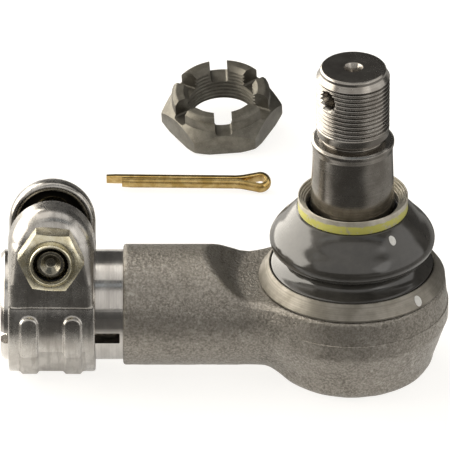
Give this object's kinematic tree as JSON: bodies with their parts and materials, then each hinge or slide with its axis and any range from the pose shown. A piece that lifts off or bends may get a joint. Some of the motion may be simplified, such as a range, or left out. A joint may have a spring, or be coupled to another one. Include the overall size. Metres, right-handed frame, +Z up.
{
  "type": "tie rod end",
  "caption": "Tie rod end: tapered ball stud in a forged eye with a dust boot, and a slotted shank with a clamp; castle nut and cotter pin lie loose beside it.",
  "frame": {"origin": "middle of the end cover's flat underside, on the stud's axis", "axes": "+Z up along the stud, -X along the shank towards its open end, +Y to the far side, where the loose castle nut and cotter pin lie"},
  "size_m": [0.1479, 0.2066, 0.1136],
  "materials": {
    "forged_steel": "shot-blasted forging, grey-brown, sandy grain",
    "stud_steel": "turned and rolled, dark satin",
    "ring_steel": "turned, warm grey satin",
    "spring_steel": "plain spring steel",
    "coil_steel": "flat wire wound on itself, yellow-green paint on its outside",
    "seat_plastic": "natural acetal",
    "liner_plastic": "black nylon",
    "boot_rubber": "smooth moulded rubber with a soft sheen",
    "seal_rubber": "matt black rubber",
    "clamp_steel": "pressed sheet, bright and worn",
    "zinc_yellow": "yellow zinc plating",
    "insert_nylon": "dark nylon",
    "phosphate_black": "black phosphate, edges worn lighter",
    "zinc_gold": "gold yellow zinc plating with a colour shift"
  },
  "bodies": {
    "housing": {"housing": "forged_steel", "upper_ball_seat": "seat_plastic", "lower_ball_seat": "seat_plastic", "spring_plate": "spring_steel", "preload_spring": "spring_steel", "end_cover": "ring_steel", "cover_seal": "seal_rubber", "boot_base_ring": "ring_steel", "boot_foot_ring": "spring_steel"},
    "boot": {"dust_boot": "boot_rubber"},
    "neck": {"boot_neck_coil": "coil_steel", "boot_neck_liner": "liner_plastic"},
    "stud": {"ball_stud": "stud_steel"},
    "clamp": {"clamp_band": "clamp_steel"},
    "bolt": {"clamp_bolt": "zinc_yellow", "clamp_washer": "zinc_yellow"},
    "lock_nut_insert": {"clamp_nut_insert": "insert_nylon"},
    "lock_nut": {"clamp_nut": "zinc_yellow"},
    "castle_nut": {"castle_nut": "phosphate_black"},
    "cotter_pin": {"cotter_pin": "zinc_gold"}
  },
  "joints": [
    {"name": "stud_swing", "type": "hinge", "parent": "housing", "child": "boot", "pos_m": [0, 0, 0.0233], "axis": [0, 0, 1], "continuous": true},
    {"name": "stud_tilt", "type": "hinge", "parent": "boot", "child": "neck", "pos_m": [0, 0, 0.0233], "axis": [0, 1, 0], "range_deg": [-22, 22], "deforming": ["dust_boot"]},
    {"name": "stud_spin", "type": "hinge", "parent": "neck", "child": "stud", "pos_m": [0, 0, 0.0233], "axis": [0, 0, 1], "continuous": true},
    {"name": "clamp_turn", "type": "hinge", "parent": "housing", "child": "clamp", "pos_m": [-0.09915, 0, 0.0233], "axis": [1, 0, 0], "continuous": true},
    {"name": "bolt_turn", "type": "hinge", "parent": "clamp", "child": "bolt", "pos_m": [-0.09915, 0.00477, 0.04784], "axis": [0, -0.9816, 0.1908], "continuous": true},
    {"name": "nut_travel", "type": "slide", "parent": "clamp", "child": "lock_nut_insert", "axis": [0, -0.9816, 0.1908], "range_m": [0, 0.012]},
    {"name": "nut_turn", "type": "hinge", "parent": "lock_nut_insert", "child": "lock_nut", "pos_m": [-0.09915, 0.00477, 0.04784], "axis": [0, -0.9816, 0.1908], "range_deg": [0, 2468]},
    {"name": "castle_nut_lift", "type": "slide", "parent": "housing", "child": "castle_nut", "axis": [0, 0, 1], "range_m": [0, 0.12]},
    {"name": "cotter_pin_lift", "type": "slide", "parent": "housing", "child": "cotter_pin", "axis": [0, 0, 1], "range_m": [0, 0.12]}
  ],
  "couplings": [
    {"joint": "nut_travel", "follows": "nut_turn", "m_per_rad": 0.00027852}
  ]
}
